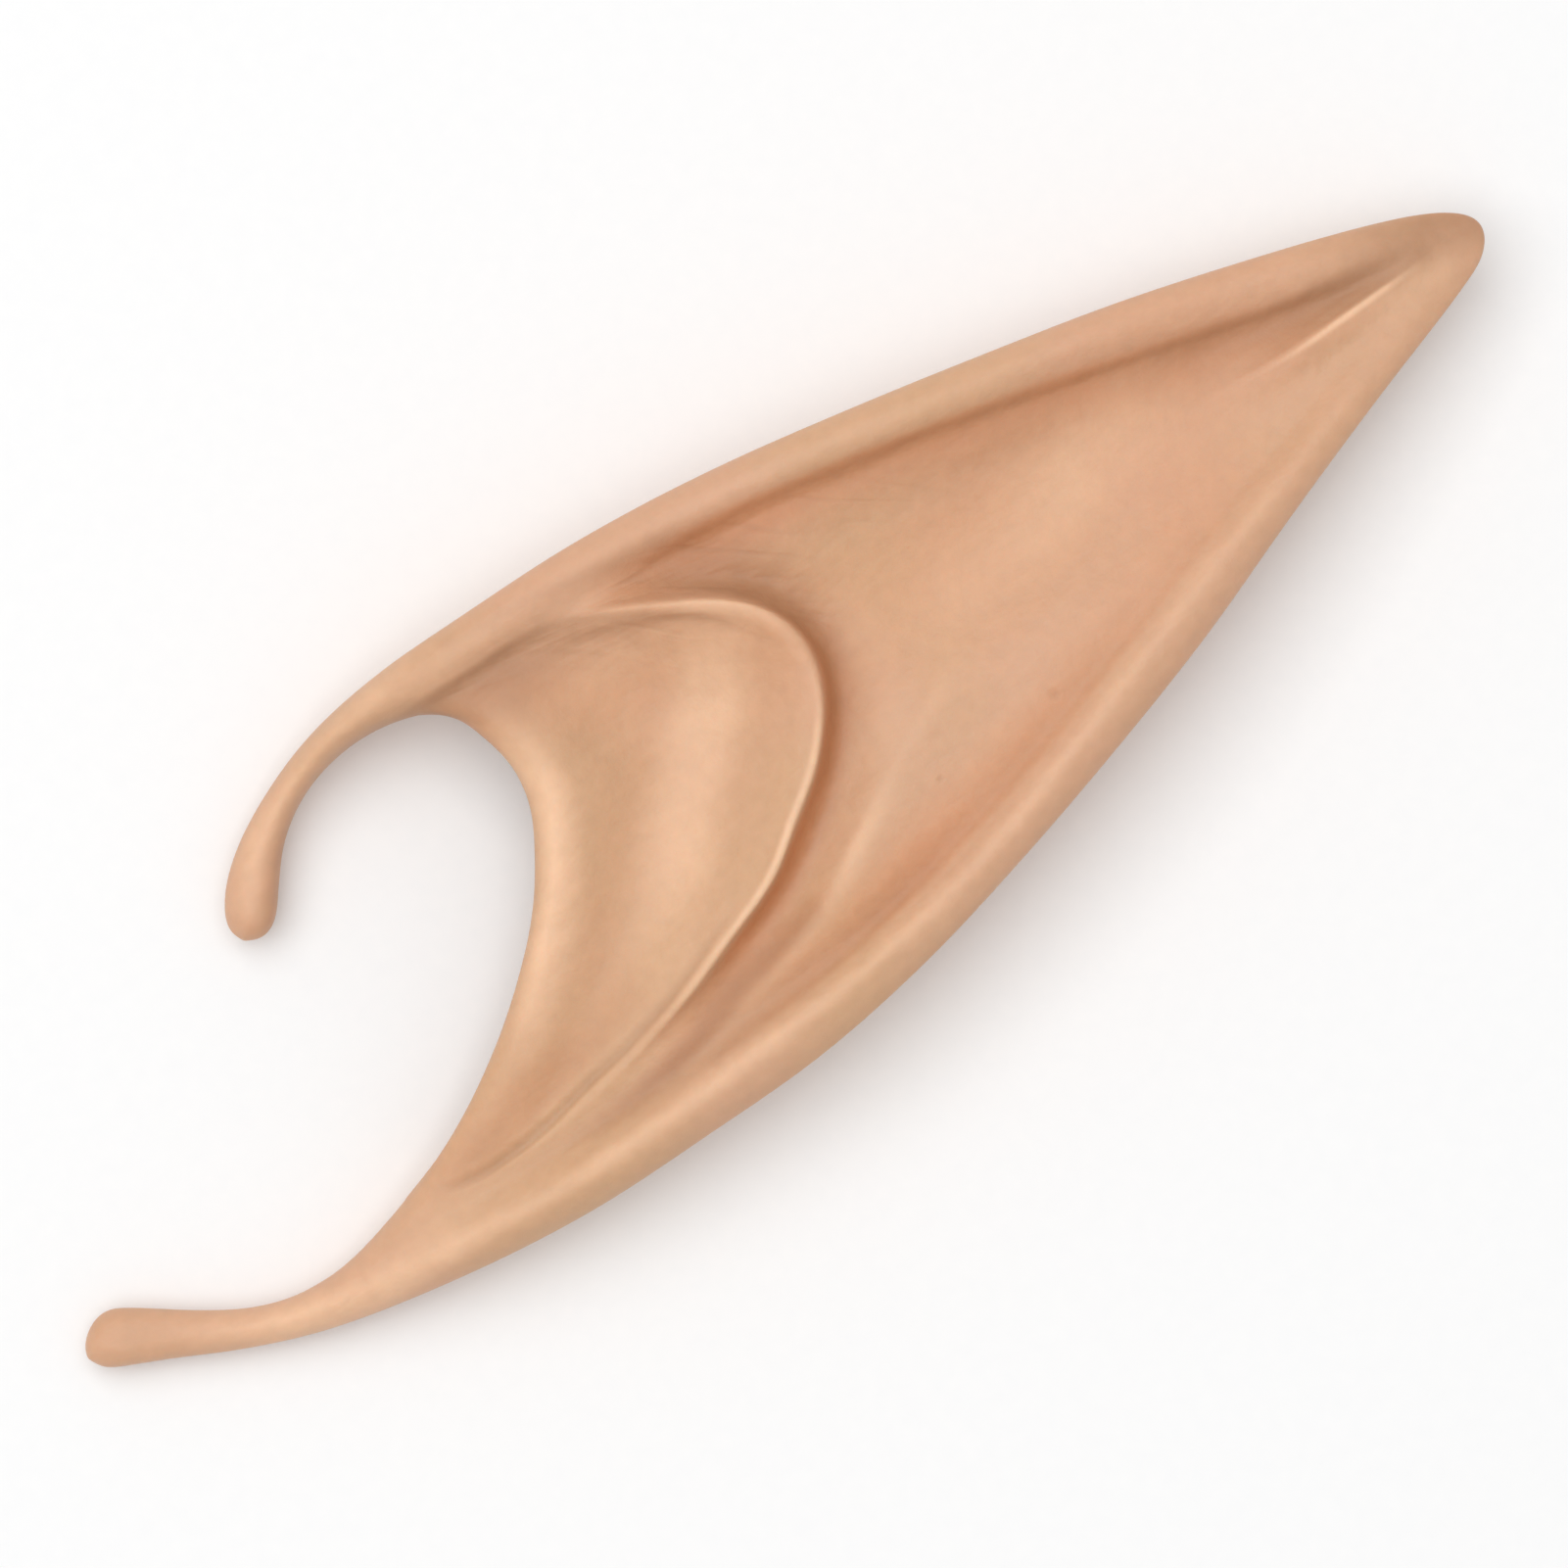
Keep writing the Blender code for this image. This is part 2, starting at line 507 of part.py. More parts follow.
OUTLINE = np.vstack((smooth_line(UPPER_OUTLINE), smooth_line(LOWER_OUTLINE)[1:]))
TIP_PLACE = len(smooth_line(UPPER_OUTLINE)) - 1
NOTCH = smooth_line(NOTCH_EDGE)
MOUTH_FROM = distance_to(NOTCH, HOOK_ROOT)
MOUTH_TO = distance_to(NOTCH, MOUTH_END)


def front_blocks():
    """Plan rows of the front wall, block by block, and its border points on the outline and the notch."""
    upper = smooth_line(UPPER_OUTLINE)
    lower = smooth_line(LOWER_OUTLINE)
    tail_root = distance_to(NOTCH, TAIL_ROOT)

    # Rows across the bowl, from the root of the hook to the root of the tail
    edges = evenly(NOTCH, BOWL_COUNT, MOUTH_FROM, tail_root)
    lips = evenly(smooth_line(LIP_LINE), BOWL_COUNT)
    troughs = evenly(smooth_line(TROUGH_LINE), BOWL_COUNT)
    bowl = [bowl_row(*points) for points in zip(edges, lips, troughs)]

    # The strip between the trough and the lower rim
    foot = smooth_line(LOWER_FOOT)
    foot_bend = distance_to(foot, troughs[BEND_COUNT])
    lower_feet = evenly(foot, BOWL_COUNT - BEND_COUNT, foot_bend)
    shares = np.linspace(0.0, 1.0, STRIP_COUNT + 1)[:, None]
    strip = [trough + (end - trough) * shares for trough, end in zip(troughs[BEND_COUNT:], lower_feet)]

    # The leaf between the rims, whose rows run from the upper rim to the lower one
    upper_feet = evenly(smooth_line(UPPER_FOOT), LEAF_COUNT)
    tip_feet = evenly(foot, LEAF_COUNT, 0.0, foot_bend)[::-1]
    base = np.vstack((troughs[:BEND_COUNT], strip[0]))
    end = np.linspace(upper_feet[-1], tip_feet[-1], len(base))
    leaf = patch(base, end, upper_feet, tip_feet)
    leaf = [row if k < HALVED_FROM else row[::2] for k, row in enumerate(leaf)]

    # The band of the rim, from the hook's end round the tip to the root of the tail
    root_place = distance_to(upper, HOOK_ROOT)
    leaf_place = distance_to(upper, UPPER_FOOT[0])
    nose_place = distance_to(upper, UPPER_FOOT[-1])
    nose_under = distance_to(lower, LOWER_FOOT[0])
    bend_under = distance_to(lower, lower_feet[0])
    tail_under = distance_to(lower, LOWER_FOOT[-1])
    hook = arm_rows(part_of(NOTCH, 0.0, MOUTH_FROM), part_of(upper, 0.0, root_place), HOOK_COUNT, ARM_BAND)
    top_share = lengths(bowl[0]) / lengths(bowl[0])[-1]
    top = at_lengths(upper, root_place + (leaf_place - root_place) * top_share)
    nose = np.vstack((part_of(upper, nose_place, lengths(upper)[-1]), part_of(lower, 0.0, nose_under)[1:]))
    inner = np.vstack((bowl[0], upper_feet[1:], leaf[-1][1:], tip_feet[::-1][1:], lower_feet[1:]))
    outer = np.vstack((
        top,
        evenly(upper, LEAF_COUNT, leaf_place, nose_place)[1:],
        evenly(nose, len(leaf[-1]) - 1)[1:],
        evenly(lower, LEAF_COUNT, nose_under, bend_under)[1:],
        evenly(lower, BOWL_COUNT - BEND_COUNT, bend_under, tail_under)[1:]))
    band = hook[:-1]
    for k, (inside, outside) in enumerate(zip(inner, outer)):
        share = min(1.0, k / BAND_BLEND)
        steps = np.array(ARM_BAND) * (1.0 - share) + np.array(BODY_BAND) * share
        band.append(outside + (inside - outside) * steps[:, None])

    # The tail, whose rows have half the faces of the row that they leave
    root = np.vstack((bowl[-1], strip[-1][1:], band[-1][::-1][1:]))
    tail_shares = (1.0 - np.cos(np.linspace(0.0, np.pi, len(root) // 2 + 1))) / 2.0
    tail_notch = part_of(NOTCH, tail_root, lengths(NOTCH)[-1])[::-1]
    tail_outer = part_of(lower, tail_under, lengths(lower)[-1])[::-1]
    rows = arm_rows(tail_outer, tail_notch, TAIL_COUNT, tail_shares)
    tail = [root] + rows[-2::-1]

    border_outer = np.array([row[0] for row in band] + [row[-1] for row in tail[1:]])
    border_notch = np.array([row[-1] for row in hook[:-1]] + list(edges) + [row[0] for row in tail[1:]])
    return (bowl, strip, leaf, band, tail), border_outer, border_notch


def mouth_lines(front_edge):
    """The edges of the front and the back wall at the mouth, each with the edge of its inner skin."""
    count = len(front_edge) - 1
    back_plan = evenly(smooth_line(BACK_EDGE), count)
    front = raised(front_edge, front_height)
    back = raised(back_plan, back_height)
    back[0], back[-1] = front[0], front[-1]
    drop = np.zeros((count + 1, 3))
    drop[:, 2] = np.minimum(THIN_WALL, (front[:, 2] - back[:, 2]) * CORNER_WALL_SHARE)
    return front, front - drop, back + drop, back


def shell_mesh():
    """The whole moulding as one closed mesh, in metres, centred over the origin and resting on z = 0."""
    mesh = bmesh.new()
    blocks, border_outer, border_notch = front_blocks()
    for rows in blocks:
        add_rows(mesh, rows, front_height)

    # The mouth of the pocket: the walls' thin edges, joined to each other near its two corners
    first = HOOK_COUNT
    share = (MOUTH_TO - MOUTH_FROM) / (distance_to(NOTCH, TAIL_ROOT) - MOUTH_FROM)
    last = first + int(np.ceil(share * BOWL_COUNT))
    front, under, over, back = mouth_lines(border_notch[first:last + 1])
    start, end = CORNER_STEPS, last - first - CORNER_STEPS
    add_strip(mesh, front, under)
    add_strip(mesh, over, back)
    add_strip(mesh, under[:start + 1], over[:start + 1])
    add_strip(mesh, under[end:], over[end:])

    # The back wall: rows under both arms, and between them a skin from the outline to its edge at the mouth
    band, tail = blocks[-2:]
    hook_root, tail_root = band[first], tail[0][::2]
    add_rows(mesh, band[:first + 1], back_height)
    add_rows(mesh, [tail_root] + tail[1:], back_height)
    outline = raised(border_outer[first:len(band)], back_height)
    across_tail = raised(tail_root[::-1], back_height)
    tail_side = raised(border_notch[last + 1:first + BOWL_COUNT + 1][::-1], back_height)
    across_hook = raised(hook_root[::-1], back_height)
    boundary = np.vstack((outline, across_tail[1:-1], tail_side, back[::-1], across_hook[1:-1]))
    inner_side = np.vstack((tail_side, back[::-1]))
    grid = grid_inside(boundary, BACK_SPACING, UNDER_ROWS[-1][0])
    rows = under_rows(outline, boundary) + under_rows(inner_side, boundary)
    plan = spread(np.vstack(rows + [grid]), LEAST_SPACING)
    add_faces(mesh, *filled(boundary, plan, back_height))

    # The pocket: its ceiling and floor share the line inside the rim, and a face closes it at each corner.
    # Where both would be the same face, at its narrow end, the pocket stops.
    rim = raised(pocket_ring(border_outer, front[start], front[end]), pocket_rim_height)
    skins = []
    for edge, height in ((under, ceiling_height), (over, floor_height)):
        boundary = np.vstack((edge[start:end + 1], rim[::-1]))
        plan = grid_inside(boundary, POCKET_SPACING, POCKET_CLEARANCE)
        skins.append(filled(boundary, plan, height))
    on_rim = range(end + 1 - start, end + 1 - start + len(rim))
    shared = {frozenset(face) for face in skins[0][1]} & {frozenset(face) for face in skins[1][1]}
    touching = {face for face in shared if all(k in on_rim for k in face)}
    for points, faces in skins:
        add_faces(mesh, points, [face for face in faces if frozenset(face) not in touching])
    for corner, rim_end in ((start, rim[0]), (end, rim[-1])):
        add_faces(mesh, (under[corner], rim_end, over[corner]), ((0, 1, 2),))

    bmesh.ops.remove_doubles(mesh, verts=mesh.verts, dist=MERGE_DISTANCE)
    bmesh.ops.recalc_face_normals(mesh, faces=mesh.faces)
    places = np.array([vertex.co for vertex in mesh.verts])
    low, high = places.min(0), places.max(0)
    centre = Vector(((low[0] + high[0]) / 2.0, (low[1] + high[1]) / 2.0, low[2]))
    bmesh.ops.translate(mesh, verts=mesh.verts, vec=-centre)
    return mesh


def rubber_material():
    """Skin-coloured moulded rubber."""
    material = bpy.data.materials.new("skin_rubber")
    material.use_nodes = True
    shader = material.node_tree.nodes["Principled BSDF"]
    shader.inputs["Base Color"].default_value = SKIN_COLOUR
    shader.inputs["Roughness"].default_value = SKIN_ROUGHNESS
    shader.inputs["Metallic"].default_value = 0.0
    return material


def build():
    """Clear the scene and add the ear in a collection of its own."""
    for thing in list(bpy.data.objects):
        bpy.data.objects.remove(thing, do_unlink=True)
    collection = bpy.data.collections.new("elf_ear_tip")
    bpy.context.scene.collection.children.link(collection)
    data = bpy.data.meshes.new("ear_shell")
    mesh = shell_mesh()
    mesh.to_mesh(data)
    mesh.free()
    data.materials.append(rubber_material())
    data.shade_smooth()
    data.set_sharp_from_angle(angle=np.radians(SHARP_ANGLE))
    shell = bpy.data.objects.new("ear_shell", data)
    collection.objects.link(shell)


build()
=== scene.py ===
"""An elf ear tip of moulded latex, lying on its back on a pale table.

The camera looks straight down on it. All positions are in metres in the part's own frame:
+X from the tail to the tip, +Y to the upper rim, +Z out of the front. Routes on the ear are in millimetres.
"""
import math

import bpy
import numpy as np
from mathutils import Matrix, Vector
from mathutils.bvhtree import BVHTree


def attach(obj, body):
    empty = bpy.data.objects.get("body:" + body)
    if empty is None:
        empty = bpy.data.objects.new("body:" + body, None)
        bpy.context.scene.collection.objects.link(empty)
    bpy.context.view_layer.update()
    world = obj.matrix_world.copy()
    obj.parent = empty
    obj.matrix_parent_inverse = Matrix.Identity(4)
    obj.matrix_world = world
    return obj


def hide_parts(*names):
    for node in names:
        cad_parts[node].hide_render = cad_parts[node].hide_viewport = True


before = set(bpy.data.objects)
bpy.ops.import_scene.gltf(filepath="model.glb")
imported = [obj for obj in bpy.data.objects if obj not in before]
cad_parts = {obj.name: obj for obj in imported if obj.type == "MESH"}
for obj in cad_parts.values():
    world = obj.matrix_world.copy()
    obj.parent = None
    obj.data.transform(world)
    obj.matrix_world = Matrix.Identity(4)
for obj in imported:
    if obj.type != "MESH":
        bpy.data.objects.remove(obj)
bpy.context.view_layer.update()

# The ear: one hollow moulding of latex, cast in a two-part mould, with painted shade in its hollows.
# Its form is the moulding itself, merged, made into quads and rounded off; the sharp crest of the lip,
# the crease at the tip and the fine lines beside the lip are then raised on its front or pressed into it.
MM = 0.001
MERGE_DISTANCE = 0.00001
QUAD_ANGLE = math.radians(50.0)
ROUND_LEVELS = 2
ROUTE_STEPS = 8
POINTS_AT_ONCE = 4000
LEAST_RISE = 0.05
RAY_START = 0.05
UP = Vector((0.0, 0.0, 1.0))
DOWN = Vector((0.0, 0.0, -1.0))

bpy.ops.object.select_all(action="DESELECT")
ear = bpy.data.objects.new("latex_ear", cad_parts["ear_shell"].data.copy())
bpy.context.scene.collection.objects.link(ear)
ear.select_set(True)
bpy.context.view_layer.objects.active = ear
ear.data.materials.clear()
bpy.ops.object.mode_set(mode="EDIT")
bpy.ops.mesh.select_all(action="SELECT")
bpy.ops.mesh.remove_doubles(threshold=MERGE_DISTANCE)
bpy.ops.mesh.tris_convert_to_quads(face_threshold=QUAD_ANGLE, shape_threshold=QUAD_ANGLE)
bpy.ops.object.mode_set(mode="OBJECT")
rounding = ear.modifiers.new("rounding", "SUBSURF")
rounding.levels = ROUND_LEVELS
rounding.render_levels = ROUND_LEVELS
bpy.ops.object.modifier_apply(modifier="rounding")


def smooth_route(points):
    """A Catmull-Rom curve through the points of a route; the columns after x and y ride along."""
    given = np.array(points, dtype=float)
    given = np.vstack((2.0 * given[0] - given[1], given, 2.0 * given[-1] - given[-2]))
    share = np.linspace(0.0, 1.0, ROUTE_STEPS, endpoint=False)[:, None]
    line = []
    for a, b, c, d in zip(given, given[1:], given[2:], given[3:]):
        line.append(0.5 * (2.0 * b + (c - a) * share + (2.0 * a - 5.0 * b + 4.0 * c - d) * share ** 2
                           + (3.0 * b - a - 3.0 * c + d) * share ** 3))
    return np.vstack(line + [given[-2:-1]])


def fold_share(route, inner, outer, points):
    """Height of a fold at each point: full on its route, 0 from its inner or outer width on."""
    line = smooth_route(route)
    height = np.zeros(len(points))
    widest = max(inner, outer)
    low, high = line[:, :2].min(0) - widest, line[:, :2].max(0) + widest
    near = np.flatnonzero(((points[:, :2] > low) & (points[:, :2] < high)).all(1))
    start, step = line[:-1, :2], np.diff(line[:, :2], axis=0)
    for some in np.array_split(near, max(1, len(near) // POINTS_AT_ONCE)):
        offset = points[some, None, :2] - start[None]
        place = np.clip((offset * step).sum(2) / (step * step).sum(1), 0.0, 1.0)
        away = offset - place[..., None] * step
        distance = np.hypot(away[..., 0], away[..., 1])
        best = distance.argmin(1)
        rows = np.arange(len(some))
        left = step[best, 0] * offset[rows, best, 1] - step[best, 1] * offset[rows, best, 0] > 0.0
        share = np.clip(distance[rows, best] / np.where(left, outer, inner), 0.0, 1.0)
        along = best + place[rows, best]
        height[some] = np.interp(along, np.arange(len(line)), line[:, 2]) * (1.0 - share ** 2) ** 2
    return height


def corners_of(mesh):
    """Places in millimetres and outward normals of a mesh's corners."""
    places = np.empty(len(mesh.vertices) * 3)
    normals = np.empty(len(mesh.vertices) * 3)
    mesh.vertices.foreach_get("co", places)
    mesh.vertex_normals.foreach_get("vector", normals)
    return places.reshape(-1, 3) / MM, normals.reshape(-1, 3)


def skin_of(piece):
    """A search tree of a piece's faces, to find the point that a ray meets first."""
    return BVHTree.FromObject(piece, bpy.context.evaluated_depsgraph_get())


def open_to_the_front(piece, places, normals):
    """1 for the corners of the front skin, which nothing covers, and 0 for the back and the pocket."""
    skin = skin_of(piece)
    seen = np.zeros(len(places))
    for k in np.flatnonzero(normals[:, 2] > LEAST_RISE):
        start = Vector((places[k] + normals[k] * RAY_START) * MM)
        seen[k] = skin.ray_cast(start, UP)[0] is None
    return seen


# Fine folds of the front: width towards the notch, width towards the outline, route of x, y and height
FINE_FOLDS = {
    "lip_top": (1.6, 0.6, (
        (-4.0, 14.6, 0.0), (-0.8, 13.2, 0.05), (3.9, 10.4, 0.06), (6.7, 7.15, 0.06), (7.8, 4.35, 0.05),
        (7.5, 1.55, 0.05), (5.9, -1.25, 0.0))),
    "lip_edge": (1.0, 0.45, (
        (7.5, 1.55, 0.0), (5.9, -1.25, 0.08), (2.9, -4.15, 0.12), (-1.1, -6.55, 0.13), (-4.6, -8.45, 0.14),
        (-9.6, -9.9, 0.15), (-14.6, -11.2, 0.1), (-19.6, -12.1, 0.0))),
    "lip_line": (0.9, 0.6, (
        (-4.5, 13.2, 0.0), (-1.5, 11.8, -0.1), (2.6, 9.4, -0.14), (5.2, 6.5, -0.12), (6.2, 3.6, -0.06),
        (6.0, 1.0, 0.0))),
    "bowl_line": (0.7, 0.7, (
        (-4.4, 14.0, 0.0), (-2.0, 10.6, -0.08), (0.8, 7.7, -0.1), (3.2, 4.9, -0.06), (4.4, 2.6, 0.0))),
    "tip_crease": (2.0, 0.5, (
        (40.5, -1.3, 0.0), (44.4, -2.15, 0.08), (48.4, -2.7, 0.13), (51.4, -2.95, 0.13), (55.4, -3.2, 0.1),
        (58.4, -3.4, 0.0))),
    "lower_lip_line": (0.7, 0.5, (
        (-9.6, -9.0, 0.0), (-14.6, -10.4, -0.1), (-19.6, -11.3, -0.15), (-24.0, -11.7, -0.2),
        (-29.0, -12.2, -0.2), (-34.2, -11.9, -0.15), (-38.0, -10.6, 0.0))),
}

places, normals = corners_of(ear.data)
front = open_to_the_front(ear, places, normals)
raised = sum(fold_share(route, inner, outer, places) for inner, outer, route in FINE_FOLDS.values())
places += normals * (raised * front)[:, None]
ear.data.vertices.foreach_set("co", (places * MM).ravel())
ear.data.update()
for face in ear.data.polygons:
    face.use_smooth = True


def smoothed(values, ends, rounds):
    """Values at a mesh's corners, averaged with their neighbours again and again."""
    count = np.bincount(ends.ravel(), minlength=len(values))
    for _ in range(rounds):
        total = np.zeros_like(values)
        for column in range(values.shape[1]):
            total[:, column] = (
                np.bincount(ends[:, 0], values[ends[:, 1], column], len(values))
                + np.bincount(ends[:, 1], values[ends[:, 0], column], len(values)))
        values = 0.5 * values + 0.5 * total / count[:, None]
    return values


def painted(name, values):
    """Keep a mask on the mesh, so that the latex can follow it."""
    layer = ear.data.attributes.new(name, "FLOAT", "POINT")
    layer.data.foreach_set("value", values.astype(np.float32))


# Painted shade and painted highlights, laid on as strokes: width towards the notch, width towards the outline
# and a route of x, y and share. Brown and red painted shade lie beside the rims and the lip, and the bowl
# gets a pale painted highlight.
# Brown painted shade: on the rims' slopes and feet, outside the lip, under the rim in the bowl, around the
# crease and at the tip.
BROWN_SHADE_STROKES = {
    "upper_rim_slope": (1.0, 1.2, (
        (-12.0, 19.0, 0.25), (-5.0, 17.6, 0.25), (0.5, 16.0, 0.25), (10.4, 13.8, 0.15), (20.4, 10.9, 0.12),
        (30.4, 7.6, 0.12), (40.4, 3.9, 0.12), (50.4, 0.2, 0.15), (58.4, -2.3, 0.1))),
    "leaf_under_rim": (7.5, 0.8, (
        (2.4, 14.4, 0.4), (10.4, 13.0, 0.45), (20.4, 10.2, 0.48), (30.4, 6.9, 0.5), (40.4, 3.3, 0.5),
        (50.4, -0.2, 0.3), (57.0, -2.3, 0.0))),
    "tip_valley": (2.4, 1.6, (
        (36.0, 4.6, 0.0), (43.0, 2.0, 0.3), (50.0, -0.4, 0.5), (55.0, -1.9, 0.5), (59.0, -3.0, 0.2))),
    "outside_lip": (0.5, 5.5, (
        (1.9, 13.2, 0.3), (5.0, 10.4, 0.55), (7.3, 7.5, 0.6), (8.4, 4.4, 0.6), (8.1, 1.4, 0.5),
        (6.4, -1.6, 0.45), (3.3, -4.6, 0.4), (-0.8, -7.1, 0.3), (-4.5, -9.1, 0.3), (-9.5, -10.6, 0.3),
        (-14.0, -11.7, 0.2), (-17.0, -12.4, 0.0))),
    "bowl_under_rim": (6.5, 0.8, (
        (-19.6, 17.2, 0.2), (-15.6, 16.7, 0.6), (-11.6, 16.2, 0.7), (-8.6, 15.9, 0.65), (-5.1, 15.1, 0.5),
        (-1.9, 13.4, 0.2), (1.5, 11.0, 0.0))),
    "bowl_middle": (5.0, 5.0, (
        (-10.5, 11.0, 0.25), (-8.5, 6.5, 0.3), (-9.5, 2.0, 0.2), (-13.5, -2.5, 0.1), (-21.0, -6.5, 0.1),
        (-28.0, -9.0, 0.05), (-36.0, -11.0, 0.0))),
    "bowl_low": (3.5, 2.0, (
        (-14.0, -8.5, 0.0), (-20.2, -9.4, 0.3), (-27.1, -10.3, 0.35), (-34.0, -10.8, 0.25),
        (-40.0, -10.5, 0.0))),
    "lip_lines": (0.6, 0.6, (
        (-2.3, 13.3, 0.0), (2.5, 9.9, 0.3), (4.9, 6.7, 0.3), (6.2, 2.6, 0.0))),
    "above_crease": (0.3, 3.0, (
        (38.0, -0.5, 0.0), (44.4, -1.8, 0.15), (48.4, -2.35, 0.2), (51.4, -2.6, 0.2), (55.4, -2.9, 0.2),
        (60.4, -3.2, 0.1))),
    "tail_end": (2.5, 2.5, (
        (-56.0, -8.0, 0.0), (-60.5, -4.8, 0.2), (-64.0, -1.0, 0.2))),
    "below_crease": (3.0, 1.0, (
        (40.0, -5.0, 0.0), (50.0, -5.8, 0.2), (57.0, -5.2, 0.0))),
    "tip": (4.5, 4.5, (
        (50.0, 1.5, 0.0), (56.0, -0.5, 0.35), (61.0, -2.0, 0.6), (64.0, -3.0, 0.6))),
    "beside_lower_lip": (1.0, 0.5, (
        (-5.6, -7.6, 0.0), (-9.6, -9.0, 0.3), (-14.6, -10.5, 0.45), (-19.6, -11.4, 0.45), (-24.0, -11.8, 0.5),
        (-29.0, -12.3, 0.5), (-34.2, -12.0, 0.4), (-38.0, -10.7, 0.0))),
    "strip": (2.0, 1.4, (
        (-3.5, -12.3, 0.4), (-11.0, -13.2, 0.6), (-19.3, -14.5, 0.6), (-27.0, -14.3, 0.4),
        (-36.0, -13.0, 0.0))),
    "lower_rim_foot": (2.6, 1.0, (
        (46.0, -6.4, 0.0), (40.4, -7.8, 0.15), (30.4, -9.9, 0.2), (20.4, -12.4, 0.3), (10.4, -14.3, 0.4),
        (0.4, -15.6, 0.5), (-9.6, -15.9, 0.45), (-19.6, -15.5, 0.3), (-28.0, -14.8, 0.0))),
    "lower_rim_side": (0.8, 2.0, (
        (50.0, -9.2, 0.0), (30.4, -13.9, 0.15), (15.4, -17.4, 0.2), (0.4, -19.8, 0.2), (-14.6, -19.7, 0.2),
        (-29.6, -17.9, 0.15), (-43.0, -14.9, 0.0))),
}
# Red painted shade: at the rims' feet, outside the lip, in the strip and over the leaf and the bowl.
RED_SHADE_STROKES = {
    "upper_rim_foot": (3.5, 1.0, (
        (-1.0, 16.0, 0.1), (4.4, 14.5, 0.35), (10.4, 13.2, 0.55), (20.4, 10.4, 0.55), (30.4, 7.1, 0.5),
        (40.4, 3.5, 0.35), (50.4, 0.0, 0.1), (55.0, -1.6, 0.0))),
    "leaf": (12.0, 12.0, (
        (0.0, 8.0, 0.3), (9.0, 5.0, 0.4), (20.0, 1.5, 0.4), (32.0, 0.0, 0.35), (44.0, -1.5, 0.3),
        (56.0, -3.0, 0.1))),
    "leaf_under_rim": (5.0, 0.8, (
        (2.4, 14.4, 0.3), (10.4, 13.0, 0.45), (20.4, 10.2, 0.5), (30.4, 6.9, 0.5), (40.4, 3.3, 0.45),
        (50.4, -0.2, 0.25), (57.0, -2.3, 0.0))),
    "outside_lip": (0.5, 2.4, (
        (5.0, 10.4, 0.1), (7.3, 7.5, 0.25), (8.4, 4.4, 0.5), (8.1, 1.4, 0.75), (6.4, -1.6, 0.9),
        (3.3, -4.6, 1.0), (-0.8, -7.1, 1.0), (-4.5, -9.1, 1.0), (-9.5, -10.6, 0.9), (-14.0, -11.7, 0.5),
        (-22.0, -12.8, 0.0))),
    "leaf_beside_lower_rim": (5.5, 1.0, (
        (44.0, -6.6, 0.0), (34.4, -9.0, 0.3), (20.4, -12.4, 0.45), (10.4, -14.3, 0.6), (0.4, -15.6, 0.65),
        (-9.6, -15.9, 0.45), (-18.0, -15.6, 0.0))),
    "strip": (1.8, 1.2, (
        (-2.0, -11.8, 0.3), (-11.0, -13.2, 0.5), (-19.3, -14.5, 0.45), (-27.0, -14.3, 0.3),
        (-36.0, -13.0, 0.0))),
    "bowl": (6.0, 6.0, (
        (-16.0, 13.5, 0.3), (-9.0, 12.0, 0.35), (-6.5, 6.0, 0.25), (-11.0, 0.0, 0.25), (-20.0, -6.0, 0.3),
        (-30.0, -10.0, 0.25), (-40.0, -11.0, 0.0))),
    "bowl_low": (3.5, 2.0, (
        (-14.0, -8.5, 0.0), (-20.2, -9.4, 0.3), (-27.1, -10.3, 0.4), (-34.0, -10.8, 0.3),
        (-40.0, -10.5, 0.0))),
}
